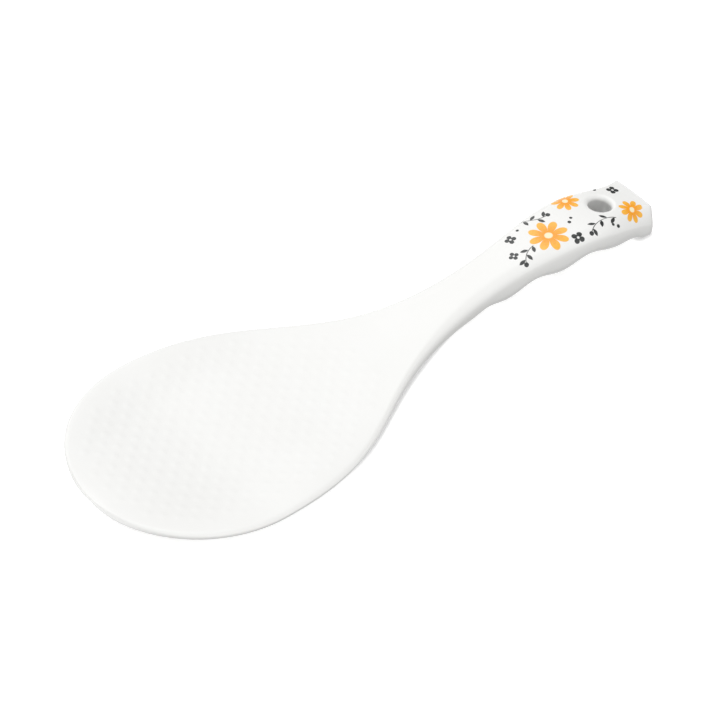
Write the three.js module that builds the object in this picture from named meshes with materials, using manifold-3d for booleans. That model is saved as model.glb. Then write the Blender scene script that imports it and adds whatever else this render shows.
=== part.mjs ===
// Rice paddle: one white melamine moulding, with a printed foil set into the end of its handle.
// Millimetres, +Z up. X runs from the tip of the blade to the end of the handle, and the paddle
// lies on z = 0 with the origin under the middle of its bounding box.
import * as THREE from 'three';
import { mergeGeometries, mergeVertices } from 'three/addons/utils/BufferGeometryUtils.js';
import Module from 'manifold-3d';

const { lerp, smoothstep } = THREE.MathUtils;

// Plan, seen from above
const LENGTH = 200;
const BLADE_WIDTH = 76.5;
const BELLY_FROM_TIP = 39; // the widest place of the blade
const TIP_FULLNESS = 2.02; // exponent of the front curve, where 2 is an ellipse
const BELLY_REACH = 47; // how far the side curve keeps straight on after the belly
const NECK_REACH = 50.5; // and before the neck
const NECK_FROM_TIP = 139;
const NECK_WIDTH = 14.9;
const GRIP_WIDTH = 21.5;
const GRIP_FROM_END = 20.5; // the widest place of the handle
const END_WIDTH = 18.9;
const END_BOW = 0.5; // how far the blunt end bulges in its middle
const END_BOW_LENGTH = 16;
const END_ROUNDING = 1.7;

// Blade: a plate with a raised rim, lying on a flat sole
const BLADE_THICKNESS = 3;
const DISH_DEPTH = 2;
const DISH_FLOOR = 0.45; // share of the half width that the flat floor of the dish takes
const DISH_LENGTH = 90; // from the tip to where the dish has run out
const RIM_CROWN = 0.8; // rim above its parting line
const RIM_DEPTH = 2; // rim below its parting line
const RIM_ROUNDING = 2.2;
const TIP_LIFT = 2.8;
const TIP_LIFT_LENGTH = 40;
const SOLE_CUT = 0.15; // what the flat sole takes off the rounded underside

// Handle: a bar that rises out of the blade, arches and droops to a foot at its end
const HANDLE_RISE = 8.45;
const RISE_FROM_TIP = 96.5;
const CREST_FROM_END = 29.5;
const END_DROOP = 6;
const GRIP_CROWN = 3.55; // top of the handle above its parting line
const END_CROWN = 5.5; // and at the end, where the parting line droops
const CROWN_FROM_TIP = 70;
const CROWN_LENGTH = 62;
const NECK_SHOULDER = 8.2; // corner radius, seen along the handle, at the neck
const END_SHOULDER = 2; // and at the end
const SHOULDER_LENGTH = 36; // from the end back to where the neck's corner holds
const SHOULDER_SHARE = 0.85; // most of the half width that a corner may take
const ROOT_LENGTH = 50; // over which the blade's edge becomes the neck
const FLANK_FULLNESS = 4; // exponent of the handle's lower corners, where 2 is an ellipse
const ARCH_HEIGHT = 4.6;
const ARCH_FROM_TIP = 99.5;
const ARCH_FROM_END = 20;
const FOOT_LENGTH = 3;

// Finger grooves under the handle
const GROOVE_PITCH = 19;
const GROOVE_DEPTH = 2.3;
const LAST_CREST_FROM_END = 17.5;
const FIRST_GROOVE_FROM_TIP = 125;
const GROOVE_FADE = 14; // over which the first groove comes in
const GROOVE_END_FADE = 8;

// Hanging hole, straight along the mould's draw
const HOLE_DIAMETER = 7;
const HOLE_FROM_END = 15;
const HOLE_MOUTH = 1.5; // width of the bevel round its mouths

// Low nubs that keep rice from sticking, in a square lattice turned by 45 degrees
const NUB_PITCH = 4.25;
const NUB_DIAMETER = 2.2;
const NUB_HEIGHT = 0.35;
const NUB_ROOT = 0.3; // how far it reaches into the blade
const NUB_MARGIN = 5.2; // from the blade's outline to the nearest middle of a nub
const NUB_FIELD_LENGTH = 96; // from the tip
const NUB_SIDES = 6;

// Printed foil on the upper half of the handle's end
const FOIL_THICKNESS = 0.4;
const FOIL_GAP = 0.3; // resin between the foil, its seat and its edges
const FOIL_LENGTH = 50;
const FOIL_FROM_END = 3.4;
const FOIL_EDGE = 1.2; // height of its two long edges above the parting line

// Facets
const TIP_STEPS = 13;
const BLADE_STEP = 6;
const HANDLE_STEP = 2.6;
const END_STEPS = 4;
const CORNER_STEPS = 4;
const FLAT_STEPS = 9;
const FLAT_SHARE = 0.5; // share of the section's parameter that runs over its flat middle
const HOLE_SIDES = 24;
const FOIL_STEPS = 14;
const OUTLINE_STEPS = 240; // of the blade's outline that the nubs keep clear of
const HALVINGS = 40; // of the search for a place on the side curve
const NORMAL_STEP = 1e-3;
const WELD = 1e-4;
const CUT_TOLERANCE = 0.005;

const CREST_AT = LENGTH - CREST_FROM_END;
const GRIP_AT = LENGTH - GRIP_FROM_END;
const HOLE_AT = LENGTH - HOLE_FROM_END;
const LAST_CREST_AT = LENGTH - LAST_CREST_FROM_END;

// Side of the blade from the belly to the neck, as half widths over the distance from the tip
const side = new THREE.CubicBezierCurve(
  new THREE.Vector2(BELLY_FROM_TIP, BLADE_WIDTH / 2),
  new THREE.Vector2(BELLY_FROM_TIP + BELLY_REACH, BLADE_WIDTH / 2),
  new THREE.Vector2(NECK_FROM_TIP - NECK_REACH, NECK_WIDTH / 2),
  new THREE.Vector2(NECK_FROM_TIP, NECK_WIDTH / 2),
);

function heightOnCurve(curve, x) {
  let low = 0;
  let high = 1;
  for (let i = 0; i < HALVINGS; i += 1) {
    const t = (low + high) / 2;
    if (curve.getPoint(t).x < x) low = t;
    else high = t;
  }
  return curve.getPoint(low).y;
}

// Every function of u below is taken at a distance u from the tip.
function halfWidth(u) {
  if (u < BELLY_FROM_TIP) {
    const ahead = 1 - u / BELLY_FROM_TIP;
    return (BLADE_WIDTH / 2) * (1 - ahead ** TIP_FULLNESS) ** (1 / TIP_FULLNESS);
  }
  if (u < NECK_FROM_TIP) return heightOnCurve(side, u);
  const swell = lerp(NECK_WIDTH, GRIP_WIDTH, smoothstep(u, NECK_FROM_TIP, GRIP_AT));
  return (swell + (END_WIDTH - GRIP_WIDTH) * smoothstep(u, GRIP_AT, LENGTH)) / 2;
}

function dish(u) {
  return DISH_DEPTH * smoothstep(u, 0, BELLY_FROM_TIP) * (1 - smoothstep(u, BELLY_FROM_TIP, DISH_LENGTH));
}

function tipLift(u) {
  return TIP_LIFT * (1 - smoothstep(u, 0, TIP_LIFT_LENGTH));
}

// How far the handle has bent down behind its crest
function droop(u) {
  return (Math.max(u - CREST_AT, 0) / CREST_FROM_END) ** 2;
}

function partingHeight(u) {
  const rise = HANDLE_RISE * smoothstep(u, RISE_FROM_TIP, CREST_AT);
  return BLADE_THICKNESS - RIM_CROWN + tipLift(u) + dish(u) + rise - END_DROOP * droop(u);
}

function crown(u) {
  const grip = lerp(RIM_CROWN, GRIP_CROWN, smoothstep(u, CROWN_FROM_TIP, CROWN_FROM_TIP + CROWN_LENGTH));
  return grip + (END_CROWN - GRIP_CROWN) * droop(u);
}

function grooves(u) {
  const wave = Math.cos((2 * Math.PI * (u - LAST_CREST_AT)) / GROOVE_PITCH);
  const fadeIn = smoothstep(u, FIRST_GROOVE_FROM_TIP, FIRST_GROOVE_FROM_TIP + GROOVE_FADE);
  const fadeOut = 1 - smoothstep(u, LENGTH - GROOVE_END_FADE, LENGTH - FOOT_LENGTH);
  return (-GROOVE_DEPTH / 2) * wave * fadeIn * fadeOut;
}

function underside(u) {
  const archAt = LENGTH - ARCH_FROM_END;
  const arch = smoothstep(u, ARCH_FROM_TIP, archAt) - smoothstep(u, archAt, LENGTH - FOOT_LENGTH);
  return tipLift(u) - SOLE_CUT + ARCH_HEIGHT * arch + grooves(u);
}

// How far the blade has turned into the handle
function root(u) {
  return smoothstep(u, NECK_FROM_TIP - ROOT_LENGTH, NECK_FROM_TIP);
}

function shoulder(u) {
  const end = smoothstep(u, LENGTH - SHOULDER_LENGTH, LENGTH);
  return lerp(lerp(RIM_ROUNDING, NECK_SHOULDER, root(u) ** 2), END_SHOULDER, end);
}

// Point on the outer skin: w runs over the section from the near side (-1) to the far side (1),
// on the upper (1) or lower (-1) half.
function skin(u, w, half) {
  const tip = Math.sqrt(1 - Math.max(1 - u / RIM_ROUNDING, 0) ** 2);
  const intoEnd = Math.max(u - LENGTH + END_ROUNDING, 0) / END_ROUNDING;
  const inset = END_ROUNDING * (1 - Math.sqrt(1 - Math.min(intoEnd, 1) ** 2));
  const width = halfWidth(u) - inset;
  const corner = Math.min(shoulder(u), SHOULDER_SHARE * width);
  const flat = width - corner;
  const turn = (Math.max(Math.abs(w) - FLAT_SHARE, 0) / (1 - FLAT_SHARE)) * (Math.PI / 2);
  const along = Math.min(Math.abs(w) / FLAT_SHARE, 1);
  const power = 2 / (half > 0 ? 2 : lerp(2, FLANK_FULLNESS, root(u)));
  const y = Math.sign(w) * (flat * along + corner * Math.sin(turn) ** power);
  const round = Math.max(Math.cos(turn), 0) ** power;
  const hollow = width > 0 ? 1 - smoothstep(Math.abs(y) / width, DISH_FLOOR, 1) : 0;
  const parting = partingHeight(u);
  const depth = parting - underside(u);
  const edge = lerp(Math.min(RIM_DEPTH, depth), depth, root(u));
  const up = (crown(u) - inset) * round - dish(u) * hollow;
  const down = (edge - inset) * round + (depth - edge) * hollow;
  const bow = END_BOW * (y / END_WIDTH * 2) ** 2 * smoothstep(u, LENGTH - END_BOW_LENGTH, LENGTH);
  return new THREE.Vector3(u - bow, y, parting + tip * (half > 0 ? up : -down));
}

function skinNormal(u, w) {
  const along = skin(u + NORMAL_STEP, w, 1).sub(skin(u - NORMAL_STEP, w, 1));
  const across = skin(u, w + NORMAL_STEP, 1).sub(skin(u, w - NORMAL_STEP, 1));
  return along.cross(across).normalize();
}

// Closed skin over rings of equally many points, with a point at each end
function loft(rings, start, end) {
  const count = rings[0].length;
  const points = [...rings.flat(), start, end];
  const first = points.length - 2;
  const last = points.length - 1;
  const index = [];
  for (let i = 0; i < count; i += 1) {
    const next = (i + 1) % count;
    for (let r = 0; r + 1 < rings.length; r += 1) {
      const [a, b] = [r * count + i, r * count + next];
      index.push(a, b, b + count, a, b + count, a + count);
    }
    const foot = (rings.length - 1) * count;
    index.push(first, next, i, last, foot + i, foot + next);
  }
  const geometry = new THREE.BufferGeometry().setFromPoints(points);
  geometry.setIndex(index);
  return geometry;
}

function stations() {
  const front = Array.from({ length: TIP_STEPS }, (_, i) => BELLY_FROM_TIP * ((i + 1) / TIP_STEPS) ** 2);
  const spread = (from, to, step) => {
    const count = Math.ceil((to - from) / step);
    return Array.from({ length: count }, (_, i) => from + ((to - from) * (i + 1)) / count);
  };
  const blade = spread(BELLY_FROM_TIP, FIRST_GROOVE_FROM_TIP, BLADE_STEP);
  const handle = spread(FIRST_GROOVE_FROM_TIP, LENGTH - END_ROUNDING, HANDLE_STEP);
  const end = Array.from({ length: END_STEPS }, (_, i) => {
    const angle = (Math.PI / 2) * ((i + 1) / END_STEPS);
    return LENGTH - END_ROUNDING * (1 - Math.sin(angle));
  });
  return [...front, ...blade, ...handle, ...end];
}

// Parameters over half a section, from the far edge to just short of the near one
function sectionSteps() {
  const bend = 1 - FLAT_SHARE;
  const corner = Array.from({ length: CORNER_STEPS }, (_, i) => 1 - bend * (i / CORNER_STEPS));
  const flat = Array.from({ length: FLAT_STEPS }, (_, i) => FLAT_SHARE * (1 - (2 * i) / FLAT_STEPS));
  const near = Array.from({ length: CORNER_STEPS }, (_, i) => corner[i] - 1 - FLAT_SHARE);
  return [...corner, ...flat, ...near];
}

function blank() {
  const steps = sectionSteps();
  const rings = stations().map((u) => [
    ...steps.map((w) => skin(u, w, 1)),
    ...steps.map((w) => skin(u, -w, -1)),
  ]);
  const middle = (partingHeight(LENGTH) + underside(LENGTH)) / 2;
  return loft(rings, skin(0, 0, 1), new THREE.Vector3(LENGTH, 0, middle));
}

// Parameter of the place on the upper skin at a height above the parting line
function paramAbove(u, height) {
  return FLAT_SHARE + (1 - FLAT_SHARE) * (Math.acos(height / crown(u)) / (Math.PI / 2));
}

// Slab of the handle's upper skin between two depths under it, grown all round by a margin
function foilSlab(outer, inner, margin) {
  const row = FOIL_STEPS + 1;
  const from = LENGTH - FOIL_FROM_END - FOIL_LENGTH - margin;
  const length = FOIL_LENGTH + 2 * margin;
  const points = [];
  for (const depth of [outer, inner]) {
    for (let k = 0; k < row * row; k += 1) {
      const u = from + length * (Math.floor(k / row) / FOIL_STEPS);
      const w = paramAbove(u, FOIL_EDGE - margin) * (2 * ((k % row) / FOIL_STEPS) - 1);
      points.push(skin(u, w, 1).addScaledVector(skinNormal(u, w), -depth));
    }
  }
  const under = row * row;
  const index = [];
  for (let i = 0; i < FOIL_STEPS; i += 1) {
    for (let j = 0; j < FOIL_STEPS; j += 1) {
      const [a, b, c, d] = [i * row + j, (i + 1) * row + j, (i + 1) * row + j + 1, i * row + j + 1];
      index.push(a, b, c, a, c, d, a + under, c + under, b + under, a + under, d + under, c + under);
    }
  }
  const run = Array.from({ length: FOIL_STEPS }, (_, i) => i);
  const border = [
    ...run.map((i) => i * row),
    ...run.map((i) => FOIL_STEPS * row + i),
    ...run.map((i) => (FOIL_STEPS - i) * row + FOIL_STEPS),
    ...run.map((i) => FOIL_STEPS - i),
  ];
  border.forEach((p, i) => {
    const q = border[(i + 1) % border.length];
    index.push(p + under, q + under, q, p + under, q, p);
  });
  return new THREE.BufferGeometry().setFromPoints(points).setIndex(index);
}

// Straight hole along Z
function boreCutter(radius) {
  const bore = new THREE.CylinderGeometry(radius, radius, LENGTH, HOLE_SIDES);
  return bore.rotateX(Math.PI / 2).translate(HOLE_AT, 0, 0);
}

// Cone that opens a mouth of the hole, square to the skin that it meets
function mouthCutter(half) {
  const radius = HOLE_DIAMETER / 2;
  const behind = skin(HOLE_AT - radius, 0, half);
  const ahead = skin(HOLE_AT + radius, 0, half);
  const slope = Math.atan2(ahead.z - behind.z, ahead.x - behind.x);
  const wide = radius + 2 * HOLE_MOUTH;
  const narrow = radius - HOLE_MOUTH;
  const cone = new THREE.CylinderGeometry(wide, narrow, wide - narrow, HOLE_SIDES);
  cone.translate(0, -HOLE_MOUTH / 2, 0).rotateX((half * Math.PI) / 2).rotateY(-slope);
  return cone.translate(HOLE_AT, 0, (ahead.z + behind.z) / 2);
}

function bladeTop(u, y) {
  const flat = halfWidth(u) - shoulder(u);
  return skin(u, (FLAT_SHARE * y) / flat, 1).z;
}

function nubs() {
  const tall = NUB_HEIGHT + NUB_ROOT;
  const nub = new THREE.ConeGeometry((NUB_DIAMETER / 2) * (tall / NUB_HEIGHT), tall, NUB_SIDES);
  nub.rotateX(Math.PI / 2).translate(0, 0, NUB_HEIGHT - tall / 2);
  const reach = NUB_FIELD_LENGTH + BLADE_WIDTH / 2;
  const outline = Array.from({ length: OUTLINE_STEPS }, (_, i) => {
    const u = reach * (i / OUTLINE_STEPS) ** 2;
    return new THREE.Vector2(u, halfWidth(u));
  });
  const half = NUB_PITCH / Math.SQRT2;
  const count = Math.ceil(LENGTH / half);
  const field = [];
  for (let i = 0; i < count; i += 1) {
    for (let j = -count; j <= count; j += 1) {
      const place = new THREE.Vector2(half * i, half * (2 * j + (i % 2)));
      const mirrored = new THREE.Vector2(place.x, Math.abs(place.y));
      const inside = place.x < NUB_FIELD_LENGTH && mirrored.y < halfWidth(place.x);
      if (inside && outline.every((point) => point.distanceTo(mirrored) >= NUB_MARGIN)) {
        field.push(nub.clone().translate(place.x, place.y, bladeTop(place.x, place.y)));
      }
    }
  }
  return mergeGeometries(field);
}

const wasm = await Module();
wasm.setup();

function solid(geometry) {
  const bare = geometry.clone();
  bare.deleteAttribute('normal');
  bare.deleteAttribute('uv');
  const welded = mergeVertices(bare, WELD);
  return new wasm.Manifold(new wasm.Mesh({
    numProp: 3,
    tolerance: CUT_TOLERANCE,
    vertProperties: new Float32Array(welded.attributes.position.array),
    triVerts: new Uint32Array(welded.index.array),
  }));
}

function piece(name, body, colour, roughness) {
  const { numProp, vertProperties, triVerts } = body.getMesh();
  const geometry = new THREE.BufferGeometry();
  const points = new THREE.InterleavedBuffer(vertProperties, numProp);
  geometry.setAttribute('position', new THREE.InterleavedBufferAttribute(points, 3, 0));
  geometry.setIndex(new THREE.BufferAttribute(triVerts, 1));
  geometry.computeVertexNormals();
  const material = new THREE.MeshStandardMaterial({ color: colour, roughness, metalness: 0 });
  const mesh = new THREE.Mesh(geometry, material);
  mesh.name = name;
  return mesh;
}

const floor = new THREE.BoxGeometry(2 * LENGTH, 2 * BLADE_WIDTH, LENGTH).translate(0, 0, -LENGTH / 2);
const seat = foilSlab(-GRIP_CROWN / 2, FOIL_THICKNESS + FOIL_GAP, FOIL_GAP);
const moulding = solid(blank())
  .add(solid(nubs()))
  .subtract(solid(seat))
  .subtract(solid(boreCutter(HOLE_DIAMETER / 2)))
  .subtract(solid(mouthCutter(1)))
  .subtract(solid(mouthCutter(-1)))
  .subtract(solid(floor));
const foil = solid(foilSlab(0, FOIL_THICKNESS, 0))
  .subtract(solid(boreCutter(HOLE_DIAMETER / 2 + HOLE_MOUTH + FOIL_GAP)));

const paddle = new THREE.Group();
paddle.position.x = -LENGTH / 2;
paddle.add(
  piece('paddle_moulding', moulding, '#f8f7f3', 0.22),
  piece('decal_foil', foil, '#fbf6ec', 0.18),
);

export default paddle;
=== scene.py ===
"""White moulded rice paddle with a floral foil on its handle, dressed for a studio picture.

Sizes are millimetres in the classes below and metres in the meshes. X runs from the tip of the
blade to the end of the handle, the paddle lies on z = 0 and the origin is under its middle.
"""

import logging
import math
from dataclasses import dataclass, field
from enum import Enum
from typing import ClassVar

import bmesh
import bpy
from bmesh.types import BMEdge, BMesh, BMFace, BMVert
from bpy.types import Material, Node, NodeSocket, NodeTree, Object, bpy_prop_collection
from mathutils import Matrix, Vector


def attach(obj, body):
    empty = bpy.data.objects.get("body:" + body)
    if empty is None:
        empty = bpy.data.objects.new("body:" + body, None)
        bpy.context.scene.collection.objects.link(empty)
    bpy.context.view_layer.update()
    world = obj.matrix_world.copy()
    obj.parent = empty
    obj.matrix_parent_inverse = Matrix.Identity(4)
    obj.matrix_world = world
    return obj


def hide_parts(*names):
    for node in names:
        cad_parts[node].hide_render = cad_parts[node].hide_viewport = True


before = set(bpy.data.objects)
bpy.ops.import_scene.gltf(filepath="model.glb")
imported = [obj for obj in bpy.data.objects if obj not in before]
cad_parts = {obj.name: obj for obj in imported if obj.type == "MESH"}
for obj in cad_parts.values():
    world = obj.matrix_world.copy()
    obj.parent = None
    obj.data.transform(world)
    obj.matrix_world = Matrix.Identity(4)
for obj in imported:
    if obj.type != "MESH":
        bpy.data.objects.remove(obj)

Colour = tuple[float, float, float, float]
Names = tuple[str, ...]
Places = tuple[tuple[float, ...], ...]

LOG = logging.getLogger("rice_paddle")
MM = 0.001
BODY = "root"
# the last layer is the mask of the painted shade in the hanging hole
LAYERS = ("along", "across", "around", "upper", "painted_hole_shade")
ELLIPSE = 2.0  # exponent of a corner that is a plain ellipse
BISECTIONS = 40  # halvings that find a place on the outline's curve
MERGE, SLIVER = 1e-7, 1e-8  # metres under which vertices are joined and edges dropped
MIX_FIRST, MIX_SECOND, MIX_RESULT = 6, 7, 2  # sockets of a Mix node's colours
NOISE_MIDDLE = 0.5
WHITE = (1.0, 1.0, 1.0, 1.0)


class Half(Enum):
    """Half of the moulding above or below its parting line."""

    UPPER = 1
    LOWER = -1


class Ink(Enum):
    """Colour that a motif of the print is drawn in."""

    ORANGE = "orange"
    SLATE = "slate"


def ease(value: float, start: float, stop: float) -> float:
    """Go smoothly from 0 at one value to 1 at another.

    Args:
        value: Where the step is read.
        start: Value up to which the result is 0.
        stop: Value from which the result is 1.

    Returns:
        A number from 0 to 1.
    """
    t = min(max((value - start) / (stop - start), 0.0), 1.0)
    return t * t * (3.0 - 2.0 * t)


def mix(first: float, second: float, share: float) -> float:
    """Go from the first number to the second as share goes from 0 to 1."""
    return first + (second - first) * share


def put(name: str, data: bpy.types.ID) -> Object:
    """Put an object with its data in the scene.

    Args:
        name: Name of the object.
        data: Its mesh, light or camera.

    Returns:
        The object.
    """
    thing = bpy.data.objects.new(name, data)
    bpy.context.scene.collection.objects.link(thing)
    return thing


@dataclass(frozen=True)
class Section:
    """Cross-section of the paddle at one distance from the tip, in millimetres.

    The flat middle takes the parameters up to flat_share, and the rounded corners the rest up
    to 1 at the parting line.
    """

    along: float
    half_width: float
    shoulder: float
    heel: float
    parting: float
    crown: float
    depth: float
    edge: float
    dish: float
    dish_floor: float
    tip: float
    bow: float
    flat_share: float
    roundness: float
    fullness: float

    def point(self, across: float, half: Half) -> Vector:
        """Give a point of the outer skin.

        Args:
            across: Parameter from -1 on the near side to 1 on the far side.
            half: Which half of the moulding it is on.

        Returns:
            The point in millimetres, with x measured from the tip.
        """
        corner = self.shoulder if half is Half.UPPER else self.heel
        flat = self.half_width - corner
        turn = max(abs(across) - self.flat_share, 0.0) / (1.0 - self.flat_share) * math.pi / 2
        power = ELLIPSE / (self.roundness if half is Half.UPPER else self.fullness)
        reach = flat * min(abs(across) / self.flat_share, 1.0) + corner * math.sin(turn) ** power
        y = math.copysign(reach, across)
        rounding = max(math.cos(turn), 0.0) ** power
        return Vector((self.along - self.bow * y * y, y, self.height(y, rounding, half)))

    def height(self, y: float, rounding: float, half: Half) -> float:
        """Give the height of the skin at a place across the section.

        Args:
            y: Distance from the middle.
            rounding: 1 on the flat middle, falling to 0 at the parting line.
            half: Which half of the moulding it is on.

        Returns:
            The height above the table, in millimetres.
        """
        hollow = 0.0
        if self.half_width > 0:
            hollow = 1.0 - ease(abs(y) / self.half_width, self.dish_floor, 1.0)
        if half is Half.UPPER:
            return self.parting + self.tip * (self.crown * rounding - self.dish * hollow)
        low = self.parting - self.tip * (self.edge * rounding + (self.depth - self.edge) * hollow)
        return max(low, 0.0)


@dataclass(frozen=True)
class PaddleForm:
    """Driving sizes of the moulding and the curves that they make, in millimetres."""

    length: float = 200.0
    blade_width: float = 76.5
    belly_from_tip: float = 39.0
    tip_fullness: float = 2.02
    belly_reach: float = 47.0
    neck_reach: float = 50.5
    neck_from_tip: float = 139.0
    neck_width: float = 14.9
    grip_width: float = 21.5
    grip_from_end: float = 20.5
    end_width: float = 18.9
    end_bow: float = 0.5
    end_bow_length: float = 16.0
    end_rounding: float = 1.7
    blade_thickness: float = 3.0
    dish_depth: float = 2.0
    dish_floor: float = 0.45
    dish_length: float = 90.0
    rim_crown: float = 0.8
    rim_depth: float = 2.0
    rim_rounding: float = 2.2
    tip_lift: float = 2.8
    tip_lift_length: float = 40.0
    sole_cut: float = 0.15
    handle_rise: float = 8.45
    rise_from_tip: float = 96.5
    crest_from_end: float = 29.5
    end_droop: float = 7.4
    grip_crown: float = 3.55
    end_crown: float = 6.9
    crown_from_tip: float = 70.0
    crown_length: float = 62.0
    neck_shoulder: float = 4.8
    neck_heel: float = 8.2
    grip_shoulder: float = 3.9
    end_shoulder: float = 1.3
    end_heel: float = 2.0
    ridge_length: float = 10.0
    shoulder_length: float = 36.0
    roundness_length: float = 27.0
    shoulder_share: float = 0.85
    root_length: float = 50.0
    flank_fullness: float = 4.0
    neck_roundness: float = 2.5
    end_roundness: float = 1.2
    arch_height: float = 4.6
    arch_from_tip: float = 99.5
    arch_from_end: float = 20.0
    foot_length: float = 3.0
    groove_pitch: float = 19.0
    groove_depth: float = 2.3
    last_crest_from_end: float = 17.5
    first_groove_from_tip: float = 125.0
    groove_fade: float = 14.0
    groove_end_fade: float = 8.0
    hole_diameter: float = 7.0
    hole_from_end: float = 15.0
    hole_mouth: float = 1.5
    nub_pitch: float = 4.25
    nub_skirt: float = 1.8
    nub_height: float = 0.075
    nub_margin: float = 5.2
    nub_field_length: float = 96.0
    foil_gap: float = 0.3
    flat_share: float = 0.5

    @property
    def hole_at(self) -> float:
        """Distance of the hole's middle from the tip."""
        return self.length - self.hole_from_end

    @property
    def lip(self) -> float:
        """Outer radius of the hole's mouth."""
        return self.hole_diameter / 2 + self.hole_mouth

    def half_width(self, u: float) -> float:
        """Give the plan's half width.

        Args:
            u: Distance from the tip.

        Returns:
            Half of the width.
        """
        if u < self.belly_from_tip:
            ahead = 1.0 - u / self.belly_from_tip
            return self.blade_width / 2 * (1.0 - ahead**self.tip_fullness) ** (1.0 / self.tip_fullness)
        if u < self.neck_from_tip:
            return self._side(u)
        grip_at = self.length - self.grip_from_end
        swell = mix(self.neck_width, self.grip_width, ease(u, self.neck_from_tip, grip_at))
        return (swell + (self.end_width - self.grip_width) * ease(u, grip_at, self.length)) / 2

    def _side(self, u: float) -> float:
        """Give the half width on the curve from the belly to the neck.

        Args:
            u: Distance from the tip.

        Returns:
            Half of the width.
        """
        places = (self.belly_from_tip, self.belly_from_tip + self.belly_reach,
                  self.neck_from_tip - self.neck_reach, self.neck_from_tip)
        widths = (self.blade_width / 2, self.blade_width / 2, self.neck_width / 2, self.neck_width / 2)
        low, high = 0.0, 1.0
        for _ in range(BISECTIONS):
            t = (low + high) / 2
            low, high = (t, high) if self._bezier(places, t) < u else (low, t)
        return self._bezier(widths, low)

    @staticmethod
    def _bezier(control: tuple[float, float, float, float], t: float) -> float:
        """Read one coordinate of a cubic Bezier curve.

        Args:
            control: The coordinate at the four control points.
            t: Place on the curve, from 0 to 1.

        Returns:
            The coordinate there.
        """
        a, b, c, d = control
        s = 1.0 - t
        return a * s**3 + 3 * b * s * s * t + 3 * c * s * t * t + d * t**3

    def dish(self, u: float) -> float:
        """Give the depth of the blade's dish under its rim."""
        deepening = ease(u, 0, self.belly_from_tip)
        return self.dish_depth * deepening * (1 - ease(u, self.belly_from_tip, self.dish_length))

    def lift(self, u: float) -> float:
        """Give how far the tip of the blade is lifted off the table."""
        return self.tip_lift * (1.0 - ease(u, 0, self.tip_lift_length))

    def parting(self, u: float) -> float:
        """Give the height of the parting line.

        Args:
            u: Distance from the tip.

        Returns:
            The height above the table.
        """
        rise = self.handle_rise * ease(u, self.rise_from_tip, self.length - self.crest_from_end)
        level = self.blade_thickness - self.rim_crown + self.lift(u) + self.dish(u)
        return level + rise - self.end_droop * self.droop(u)

    def droop(self, u: float) -> float:
        """Give how far the handle has bent down behind its crest, up to 1 at the end."""
        return (max(u - self.length + self.crest_from_end, 0.0) / self.crest_from_end) ** 2

    def underside(self, u: float) -> float:
        """Give the height of the underside along the middle, finger grooves included.

        Args:
            u: Distance from the tip.

        Returns:
            The height above the table.
        """
        arch_at = self.length - self.arch_from_end
        foot_at = self.length - self.foot_length
        arch = ease(u, self.arch_from_tip, arch_at) - ease(u, arch_at, foot_at)
        wave = math.cos(2 * math.pi * (u - self.length + self.last_crest_from_end) / self.groove_pitch)
        first = self.first_groove_from_tip
        fade = ease(u, first, first + self.groove_fade)
        fade *= 1 - ease(u, self.length - self.groove_end_fade, foot_at)
        sole = self.lift(u) - self.sole_cut + self.arch_height * arch
        return sole - self.groove_depth / 2 * wave * fade

    def _corners(self, u: float, root: float) -> tuple[float, float, float]:
        """Shape the rounded corners, which tighten to a ridge at the end of the handle.

        Args:
            u: Distance from the tip.
            root: How far the neck has grown out of the blade's rim, from 0 to 1.

        Returns:
            The widths of the upper and the lower corner, and the upper one's exponent.
        """
        start = self.length - self.shoulder_length
        ridge = max(u - self.length + self.ridge_length, 0.0) / self.ridge_length
        shoulder = mix(mix(self.rim_rounding, self.neck_shoulder, root**2), self.grip_shoulder,
                       ease(u, start, self.hole_at))
        heel = mix(mix(self.rim_rounding, self.neck_heel, root**2), self.end_heel,
                   ease(u, start, self.length))
        roundness = mix(mix(ELLIPSE, self.neck_roundness, root), self.end_roundness,
                        ease(u, start, start + self.roundness_length))
        return mix(shoulder, self.end_shoulder, ridge**2), heel, roundness

    def section(self, u: float) -> Section:
        """Work out the cross-section at one place.

        Args:
            u: Distance from the tip.

        Returns:
            The cross-section.
        """
        tip = math.sqrt(1.0 - max(1.0 - u / self.rim_rounding, 0.0) ** 2)
        into_end = min(max(u - self.length + self.end_rounding, 0.0) / self.end_rounding, 1.0)
        inset = self.end_rounding * (1.0 - math.sqrt(1.0 - into_end**2))
        half_width = self.half_width(u) - inset
        root = ease(u, self.neck_from_tip - self.root_length, self.neck_from_tip)
        widest = self.shoulder_share * half_width
        shoulder, heel, roundness = self._corners(u, root)
        parting = self.parting(u)
        depth = parting - self.underside(u)
        crown = mix(self.rim_crown, self.grip_crown,
                    ease(u, self.crown_from_tip, self.crown_from_tip + self.crown_length))
        crown += (self.end_crown - self.grip_crown) * self.droop(u)
        bow_at = self.length - self.end_bow_length
        bow = self.end_bow * (2 / self.end_width) ** 2 * ease(u, bow_at, self.length)
        edge = mix(min(self.rim_depth, depth), depth, root)
        return Section(along=u, half_width=half_width, shoulder=min(shoulder, widest),
                       heel=min(heel, widest), parting=parting, crown=crown - inset,
                       depth=depth - inset, edge=edge - inset, dish=self.dish(u),
                       dish_floor=self.dish_floor, tip=tip, bow=bow, flat_share=self.flat_share,
                       roundness=roundness, fullness=mix(ELLIPSE, self.flank_fullness, root))

    def surface(self, u: float, y: float, half: Half) -> float:
        """Give the height of the skin over a place on its flat middle."""
        return self.section(u).height(y, 1.0, half)


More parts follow.
